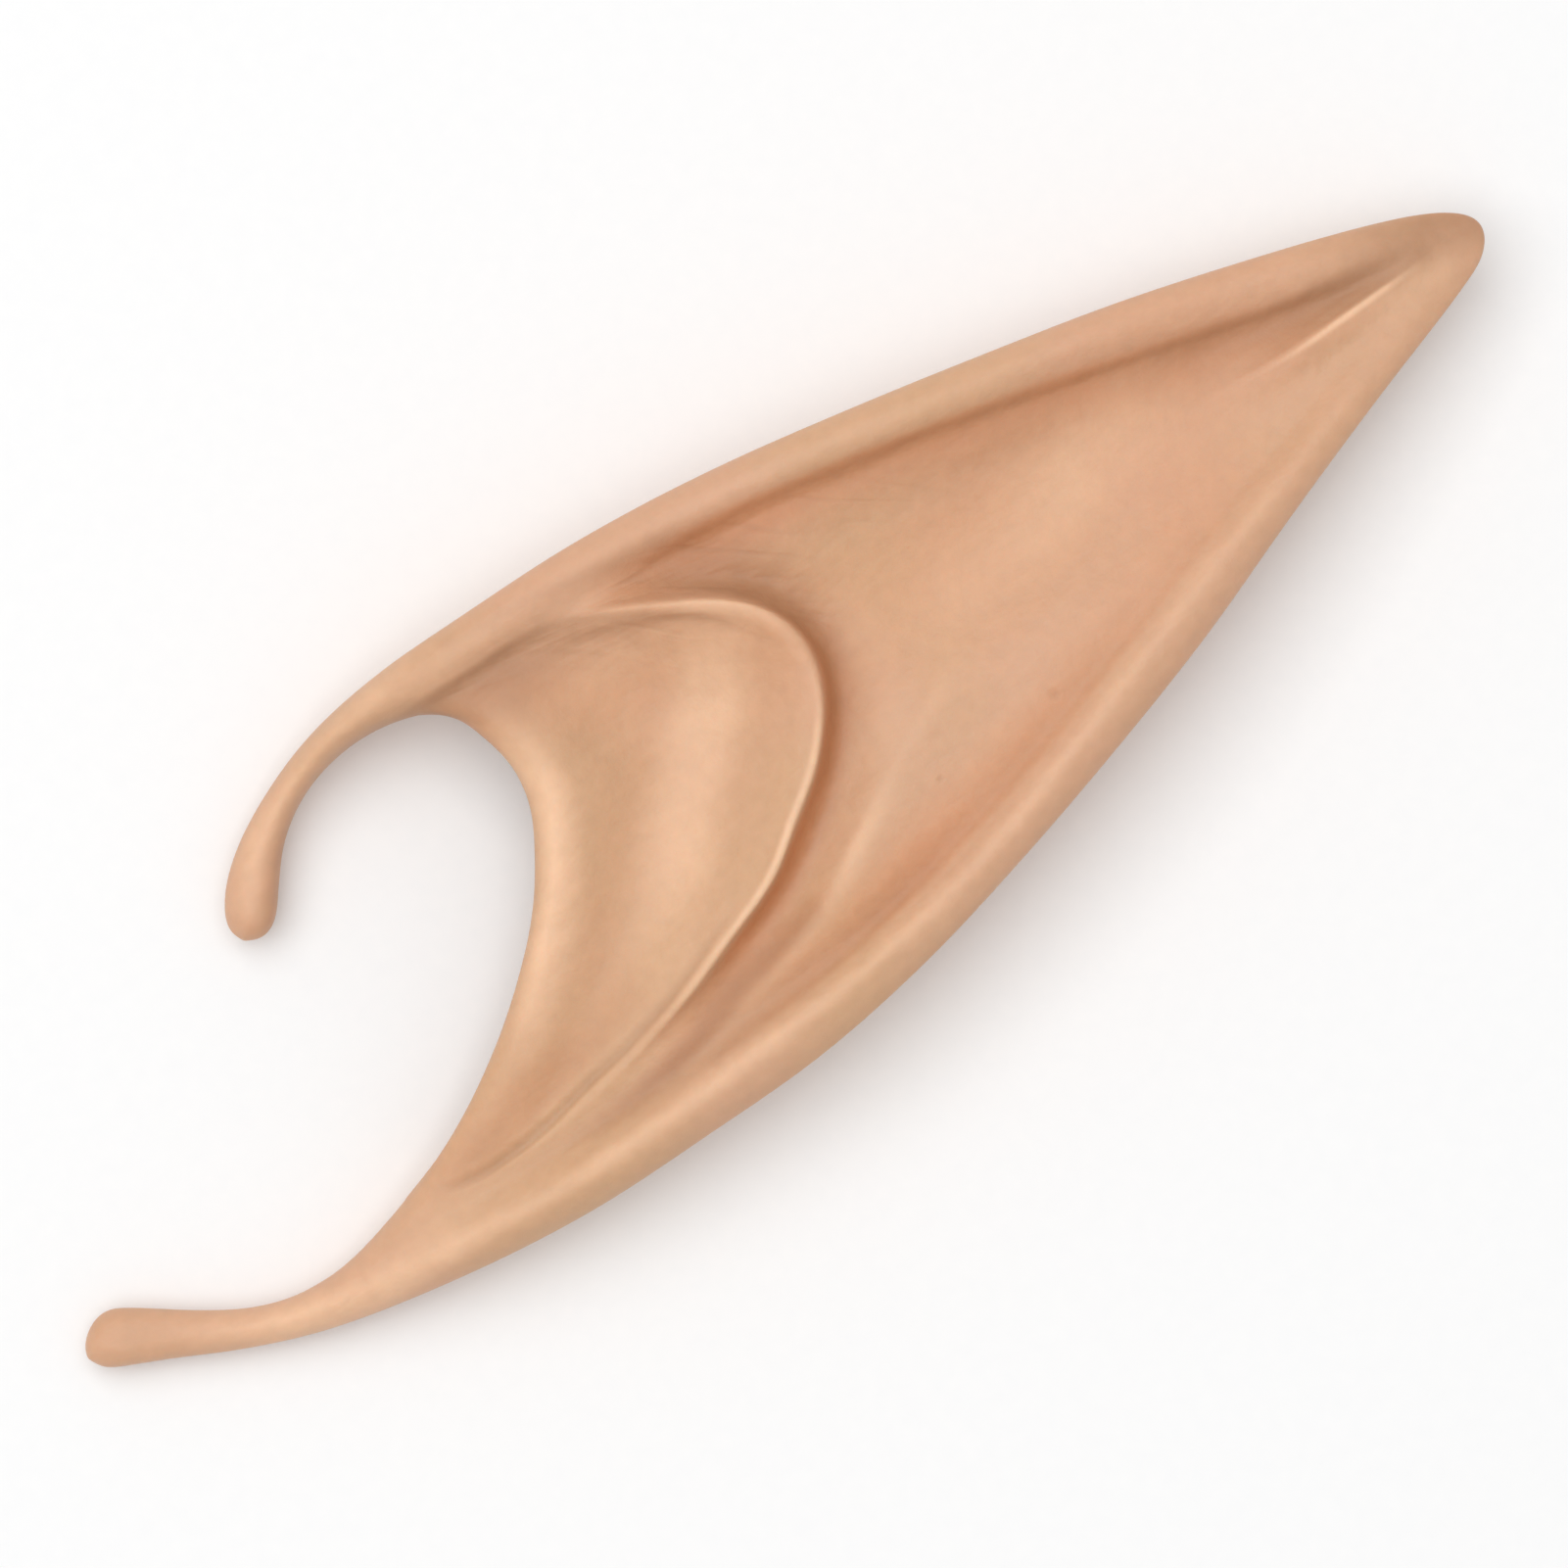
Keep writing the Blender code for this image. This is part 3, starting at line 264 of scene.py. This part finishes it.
# Pale painted highlights: on the bowl, the notch edge, the lip's crest, the leaf, the crease at the tip, the
# rims, the hook and the tail.
HIGHLIGHT_STROKES = {
    "bowl": (6.0, 4.5, (
        (3.0, 9.3, 0.15), (1.7, 5.5, 0.7), (-1.7, 2.3, 0.8), (-5.2, -0.4, 0.7), (-9.0, -3.8, 0.65),
        (-13.5, -7.4, 0.3), (-18.0, -9.4, 0.0))),
    "notch_edge": (2.0, 3.4, (
        (-13.0, 12.0, 0.2), (-13.0, 9.6, 0.45), (-13.4, 6.0, 0.7), (-15.4, 2.6, 0.85), (-18.8, -1.0, 0.8),
        (-24.0, -4.9, 0.5), (-29.0, -7.6, 0.0))),
    "lip_top": (1.5, 0.4, (
        (-2.0, 13.8, 0.15), (0.9, 12.1, 0.3), (4.4, 9.6, 0.4), (6.7, 7.2, 0.4), (7.8, 4.4, 0.35),
        (7.5, 1.6, 0.35), (5.9, -1.2, 0.0))),
    "lip_edge": (0.7, 0.35, (
        (7.5, 1.6, 0.0), (5.9, -1.2, 0.45), (2.9, -4.1, 0.7), (-1.1, -6.5, 0.9), (-4.6, -8.5, 0.9),
        (-9.6, -9.9, 0.7), (-14.6, -11.2, 0.3), (-18.0, -11.7, 0.0))),
    "leaf": (6.0, 6.0, (
        (10.0, -2.5, 0.0), (18.5, -1.6, 0.3), (27.0, -0.4, 0.4), (35.5, 0.0, 0.35), (43.0, -2.0, 0.0))),
    "tip_crease": (0.5, 0.3, (
        (40.5, -1.5, 0.0), (44.4, -2.3, 0.3), (48.4, -2.85, 0.55), (51.4, -3.05, 0.7), (55.4, -3.3, 0.6),
        (58.8, -3.5, 0.1))),
    "tip_side": (2.0, 2.0, (
        (52.0, -5.0, 0.0), (56.0, -4.9, 0.2), (59.5, -4.5, 0.25), (62.0, -4.2, 0.0))),
    "scapha_fold": (0.8, 1.5, (
        (17.0, -4.2, 0.0), (12.9, -5.6, 0.15), (8.7, -7.3, 0.3), (2.4, -10.1, 0.4), (-1.0, -11.7, 0.3),
        (-6.0, -13.4, 0.0))),
    "lower_rim": (1.5, 1.5, (
        (52.0, -7.0, 0.0), (33.7, -10.8, 0.25), (15.3, -15.4, 0.3), (8.6, -16.6, 0.3), (-1.0, -17.5, 0.3),
        (-10.9, -17.6, 0.4), (-23.9, -16.8, 0.4), (-36.0, -15.3, 0.35), (-44.0, -13.8, 0.3))),
    "tail": (3.0, 3.0, (
        (-36.0, -14.0, 0.1), (-44.0, -14.0, 0.5), (-50.3, -12.2, 0.65), (-55.0, -9.6, 0.4),
        (-59.0, -6.6, 0.1), (-61.0, -4.5, 0.0))),
    "hook": (2.0, 2.0, (
        (-14.0, 20.2, 0.1), (-20.6, 19.2, 0.4), (-27.0, 18.0, 0.45), (-32.0, 16.2, 0.4),
        (-35.0, 13.5, 0.3))),
}
# Where the latex is creased into fine parallel lines, as a stretched skin is
CREASED = {
    "leaf_corner": (6.0, 2.0, (
        (1.0, 14.8, 0.4), (6.0, 13.0, 0.9), (12.0, 11.0, 0.8), (20.0, 8.5, 0.5), (28.0, 6.0, 0.0))),
    "bowl_top": (5.0, 1.0, (
        (-9.0, 15.5, 0.3), (-4.5, 14.2, 0.8), (0.5, 11.5, 1.0), (4.0, 8.6, 0.8), (6.0, 5.0, 0.3),
        (6.4, 2.0, 0.0))),
}
# Small dimples that air bubbles left in the casting: x, y and radius
DIMPLES = ((19.4, -11.0, 0.7), (9.3, -10.6, 0.4))


def stroke_cover(strokes):
    """Share of a table's strokes at each corner: strokes over each other never exceed the whole."""
    left = np.ones(len(places))
    for inner, outer, route in strokes.values():
        left *= 1.0 - np.clip(fold_share(route, inner, outer, places), 0.0, 1.0)
    return 1.0 - left


# Masks on the mesh: the strokes, and the narrow grooves (above 0) and crests (below 0); the grooves are
# darkened with painted shade and the crests are left as they are.
# A corner lies in a groove where it is deeper than its surroundings after so many rounds of averaging.
GROOVE_ROUNDS = 24
GROOVE_SOFTENING = 3
FULL_GROOVE = 0.25

places, normals = corners_of(ear.data)
ends = np.empty(len(ear.data.edges) * 2, dtype=np.int32)
ear.data.edges.foreach_get("vertices", ends)
ends = ends.reshape(-1, 2)
groove = ((smoothed(places, ends, GROOVE_ROUNDS) - places) * normals).sum(1)
groove = smoothed(groove[:, None], ends, GROOVE_SOFTENING)[:, 0]
painted("groove", np.clip(groove / FULL_GROOVE, -1.0, 1.0))
for name, strokes in (("brown", BROWN_SHADE_STROKES), ("red", RED_SHADE_STROKES), ("pale", HIGHLIGHT_STROKES),
                      ("creased", CREASED)):
    painted(name, stroke_cover(strokes) * front)

# The latex: a satin, slightly see-through skin colour, with red and brown painted shade and pale painted
# highlights laid over it.
# Its fine grain and its bloom come from mottles, which are soft noises on the ear's own coordinates.
LATEX_OLIVE = (0.65, 0.388, 0.222, 1.0)
LATEX_PINK = (0.675, 0.387, 0.24, 1.0)
# Colours of the painted shade (red, brown, groove) and of the painted highlight (pale)
RED_SHADE = (0.66, 0.265, 0.113, 1.0)
BROWN_SHADE = (0.37, 0.175, 0.085, 1.0)
PALE_HIGHLIGHT = (0.86, 0.55, 0.35, 1.0)
GROOVE_SHADE = (0.42, 0.165, 0.08, 1.0)
SEE_THROUGH = 0.25
SEE_THROUGH_DEPTH = 0.0016
SEE_THROUGH_REDNESS = (1.0, 0.45, 0.25)
SHINE = 0.4
SMOOTHEST, ROUGHEST = 0.42, 0.58
DARKEST_SPECK, LIGHTEST_SPECK = 0.97, 1.03
SPECKS_IN_GLOSS = 0.4
GRAIN_STRENGTH = 0.3
GRAIN_DEPTH = 0.00006
CLOUD_HEIGHT, STREAK_HEIGHT, MARK_HEIGHT = 1.5, 1.0, -1.6
NOISE_LOW, NOISE_HIGH = 0.3, 0.7
STREAK_TURN, STREAK_LENGTH = math.radians(-6.0), 7.0
CREASE_TURN, CREASE_LENGTH = math.radians(-44.0), 14.0
CREASE_WIDTH = 0.45
DIMPLE_DEPTH = 2.5
ABOVE_EAR = 0.1
NODES_IN_A_ROW = 8
NODE_SPACING = 250.0


def shader_node(tree, kind, **settings):
    """Add a node beside the last one and set its properties, and its inputs by their number as in0, in1."""
    node = tree.nodes.new(kind)
    row, column = divmod(len(tree.nodes), NODES_IN_A_ROW)
    node.location = (column * NODE_SPACING, -row * NODE_SPACING)
    for name, value in settings.items():
        if name[:2] == "in" and name[2:].isdigit():
            node.inputs[int(name[2:])].default_value = value
        else:
            setattr(node, name, value)
    return node


def mottle_group():
    """A soft, cloudy mask from -1 to 1, of a scale and a detail, on the coordinates that it is given."""
    group = bpy.data.node_groups.new("mottle", "ShaderNodeTree")
    group.interface.new_socket("Vector", in_out="INPUT", socket_type="NodeSocketVector")
    group.interface.new_socket("Scale", in_out="INPUT", socket_type="NodeSocketFloat")
    group.interface.new_socket("Detail", in_out="INPUT", socket_type="NodeSocketFloat")
    group.interface.new_socket("Mask", in_out="OUTPUT", socket_type="NodeSocketFloat")
    inward = shader_node(group, "NodeGroupInput")
    noise = shader_node(group, "ShaderNodeTexNoise")
    centred = shader_node(group, "ShaderNodeMapRange", clamp=True)
    centred.inputs["From Min"].default_value = NOISE_LOW
    centred.inputs["From Max"].default_value = NOISE_HIGH
    centred.inputs["To Min"].default_value = -1.0
    outward = shader_node(group, "NodeGroupOutput")
    for name in ("Vector", "Scale", "Detail"):
        group.links.new(inward.outputs[name], noise.inputs[name])
    group.links.new(noise.outputs["Fac"], centred.inputs["Value"])
    group.links.new(centred.outputs["Result"], outward.inputs["Mask"])
    return group


mottle = mottle_group()
latex = bpy.data.materials.new("skin_latex")
latex.use_nodes = True
tree = latex.node_tree
skin = tree.nodes["Principled BSDF"]
skin.inputs["Subsurface Weight"].default_value = SEE_THROUGH
skin.inputs["Subsurface Radius"].default_value = SEE_THROUGH_REDNESS
skin.inputs["Subsurface Scale"].default_value = SEE_THROUGH_DEPTH
skin.inputs["Specular IOR Level"].default_value = SHINE
here = shader_node(tree, "ShaderNodeTexCoord")
masks = {name: shader_node(tree, "ShaderNodeAttribute", attribute_name=name).outputs["Fac"]
         for name in ("red", "brown", "pale", "groove", "creased")}


def mottled(scale, detail, turn=0.0, length=1.0):
    """A mottle of its own scale on the latex, or streaks of a length and turn across its face."""
    node = shader_node(tree, "ShaderNodeGroup", node_tree=mottle)
    node.inputs["Scale"].default_value = scale
    node.inputs["Detail"].default_value = detail
    drawn_out = shader_node(tree, "ShaderNodeMapping", vector_type="TEXTURE",
                            in2=(0.0, 0.0, turn), in3=(length, 1.0, 1.0))
    tree.links.new(here.outputs["Object"], drawn_out.inputs["Vector"])
    tree.links.new(drawn_out.outputs["Vector"], node.inputs["Vector"])
    return node.outputs["Mask"]


def spanned(value, low, high):
    """A value as a share between two limits, eased at both ends."""
    node = shader_node(tree, "ShaderNodeMapRange", interpolation_type="SMOOTHSTEP")
    node.inputs["From Min"].default_value = low
    node.inputs["From Max"].default_value = high
    tree.links.new(value, node.inputs["Value"])
    return node.outputs["Result"]


def ranged(mask, low, high):
    """A mask from -1 to 1 as a value from low to high."""
    node = shader_node(tree, "ShaderNodeMapRange")
    node.inputs["From Min"].default_value = -1.0
    node.inputs["To Min"].default_value = low
    node.inputs["To Max"].default_value = high
    tree.links.new(mask, node.inputs["Value"])
    return node.outputs["Result"]


def tinted(share, below, above):
    """A colour over another by a share."""
    node = shader_node(tree, "ShaderNodeMix", data_type="RGBA")
    tree.links.new(share, node.inputs["Factor"])
    for socket, colour in ((node.inputs[6], below), (node.inputs[7], above)):
        if isinstance(colour, tuple):
            socket.default_value = colour
        else:
            tree.links.new(colour, socket)
    return node.outputs[2]


def summed(one, two, factor):
    """One value with a share of another added."""
    node = shader_node(tree, "ShaderNodeMath", operation="MULTIPLY_ADD", in1=factor)
    tree.links.new(two, node.inputs[0])
    tree.links.new(one, node.inputs[2])
    return node.outputs[0]


patches = mottled(scale=45.0, detail=2.0)
clouds = mottled(scale=120.0, detail=4.0)
specks = mottled(scale=900.0, detail=3.0)
streaks = mottled(scale=500.0, detail=3.0, turn=STREAK_TURN, length=STREAK_LENGTH)
crease_lines = mottled(scale=520.0, detail=0.0, turn=CREASE_TURN, length=CREASE_LENGTH)

# Marks in the skin: fine creases where the last mottle is close to 0, and the dimples. They are pressed into
# the bump and also darken the brown painted shade a little.
from_line = shader_node(tree, "ShaderNodeMath", operation="ABSOLUTE")
tree.links.new(crease_lines, from_line.inputs[0])
creases = shader_node(tree, "ShaderNodeMath", operation="MULTIPLY")
tree.links.new(spanned(from_line.outputs[0], CREASE_WIDTH, 0.0), creases.inputs[0])
tree.links.new(masks["creased"], creases.inputs[1])
marks = creases.outputs[0]
ear_skin = skin_of(ear)
for x, y, radius in DIMPLES:
    place = ear_skin.ray_cast(Vector((x * MM, y * MM, ABOVE_EAR)), DOWN)[0]
    away = shader_node(tree, "ShaderNodeVectorMath", operation="DISTANCE", in1=place)
    tree.links.new(here.outputs["Object"], away.inputs[0])
    marks = summed(marks, spanned(away.outputs["Value"], radius * MM, 0.0), DIMPLE_DEPTH)

# The painted shade and highlights in their order: mask, colour, the mask's value where it covers in full, and
# what breaks it up. Red, brown and groove are painted shade and pale is a painted highlight.
colour = tinted(spanned(patches, -1.0, 1.0), LATEX_OLIVE, LATEX_PINK)
for name, painted_light, full, breaks in (
        ("red", RED_SHADE, 1.2, ((patches, 0.1), (streaks, 0.04))),
        ("brown", BROWN_SHADE, 1.15, ((clouds, 0.05), (streaks, 0.05), (marks, 0.1))),
        ("pale", PALE_HIGHLIGHT, 1.0, ((clouds, 0.14), (streaks, 0.05))),
        ("groove", GROOVE_SHADE, 4.0, ((clouds, 0.05),))):
    uneven = masks[name]
    for break_up, share in breaks:
        uneven = summed(uneven, break_up, share)
    colour = tinted(spanned(uneven, 0.0, full), colour, painted_light)
speckled = shader_node(tree, "ShaderNodeVectorMath", operation="SCALE")
tree.links.new(colour, speckled.inputs[0])
tree.links.new(ranged(specks, DARKEST_SPECK, LIGHTEST_SPECK), speckled.inputs["Scale"])
tree.links.new(speckled.outputs[0], skin.inputs["Base Color"])
tree.links.new(ranged(summed(clouds, specks, SPECKS_IN_GLOSS), SMOOTHEST, ROUGHEST), skin.inputs["Roughness"])

grain = shader_node(tree, "ShaderNodeBump")
grain.inputs["Strength"].default_value = GRAIN_STRENGTH
grain.inputs["Distance"].default_value = GRAIN_DEPTH
height = summed(summed(specks, clouds, CLOUD_HEIGHT), streaks, STREAK_HEIGHT)
tree.links.new(summed(height, marks, MARK_HEIGHT), grain.inputs["Height"])
tree.links.new(grain.outputs["Normal"], skin.inputs["Normal"])
ear.data.materials.append(latex)
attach(ear, "root")
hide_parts("ear_shell")

# The table: a plain pale top of matt board, many times wider than the ear, just under the ear's back.
# Its fibres make it slightly uneven in whiteness and give it a fine tooth.
TABLE_SIZE = 3.0
TABLE_DROP = 0.00005
BOARD_ROUGHNESS = 0.9
BOARD_SHINE = 0.1
BOARD_COLD = (0.915, 0.917, 0.92, 1.0)
BOARD_WARM = (0.945, 0.943, 0.94, 1.0)
FIBRE_SCALE, FIBRE_DETAIL = 700.0, 4.0
TOOTH_STRENGTH = 0.1
TOOTH_DEPTH = 0.00005
bpy.ops.object.select_all(action="DESELECT")
bpy.ops.mesh.primitive_plane_add(size=TABLE_SIZE, location=(0.0, 0.0, -TABLE_DROP))
table = bpy.context.object
table.name = "table_top"
bpy.ops.object.transform_apply(location=True, rotation=True, scale=True)
board = bpy.data.materials.new("pale_board")
board.use_nodes = True
board_tree = board.node_tree
surface = board_tree.nodes["Principled BSDF"]
surface.inputs["Roughness"].default_value = BOARD_ROUGHNESS
surface.inputs["Specular IOR Level"].default_value = BOARD_SHINE
board_place = shader_node(board_tree, "ShaderNodeTexCoord")
fibres = shader_node(board_tree, "ShaderNodeTexNoise")
fibres.inputs["Scale"].default_value = FIBRE_SCALE
fibres.inputs["Detail"].default_value = FIBRE_DETAIL
whiteness = shader_node(board_tree, "ShaderNodeMix", data_type="RGBA", in6=BOARD_COLD, in7=BOARD_WARM)
tooth = shader_node(board_tree, "ShaderNodeBump")
tooth.inputs["Strength"].default_value = TOOTH_STRENGTH
tooth.inputs["Distance"].default_value = TOOTH_DEPTH
board_tree.links.new(board_place.outputs["Object"], fibres.inputs["Vector"])
board_tree.links.new(fibres.outputs["Fac"], whiteness.inputs["Factor"])
board_tree.links.new(fibres.outputs["Fac"], tooth.inputs["Height"])
board_tree.links.new(whiteness.outputs[2], surface.inputs["Base Color"])
board_tree.links.new(tooth.outputs["Normal"], surface.inputs["Normal"])
table.data.materials.append(board)

# The light: a large soft box above the table, a little to the upper rim's side, aimed at the ear.
# An even, pale room fills its shadows.
LIGHT_FROM = Vector((-0.12, 0.32, 1.3))
LIGHT_SIZE = 1.5
LIGHT_POWER = 14.5
ROOM_COLOUR = (1.0, 1.0, 1.0, 1.0)
ROOM_BRIGHTNESS = 0.5
soft_box = bpy.data.lights.new("soft_box", "AREA")
soft_box.size = LIGHT_SIZE
soft_box.energy = LIGHT_POWER
soft_box_place = bpy.data.objects.new("soft_box", soft_box)
soft_box_place.location = LIGHT_FROM
soft_box_place.rotation_euler = (-LIGHT_FROM).to_track_quat("-Z", "Y").to_euler()
bpy.context.scene.collection.objects.link(soft_box_place)
room = bpy.data.worlds.new("pale_room")
bpy.context.scene.world = room
room.use_nodes = True
room.node_tree.nodes["Background"].inputs["Color"].default_value = ROOM_COLOUR
room.node_tree.nodes["Background"].inputs["Strength"].default_value = ROOM_BRIGHTNESS

# The camera: straight above the ear and far off, turned so that the tip points up to the right.
# Its lens is set by how wide the picture is at the level of the ear's front.
CAMERA_HEIGHT = 0.9
CAMERA_OVER = (0.00042, -0.00384)
CAMERA_REACH = 10.0
PICTURE_WIDTH = 0.1118
EAR_TURN = math.radians(-39.0)
FRONT_LEVEL = 0.009
camera = bpy.data.cameras.new("camera")
camera.lens = camera.sensor_width * (CAMERA_HEIGHT - FRONT_LEVEL) / PICTURE_WIDTH
camera.clip_end = CAMERA_REACH
camera_place = bpy.data.objects.new("camera", camera)
camera_place.location = (*CAMERA_OVER, CAMERA_HEIGHT)
camera_place.rotation_euler = (0.0, 0.0, EAR_TURN)
bpy.context.scene.collection.objects.link(camera_place)
bpy.context.scene.camera = camera_place
bpy.context.scene.view_settings.view_transform = "Standard"
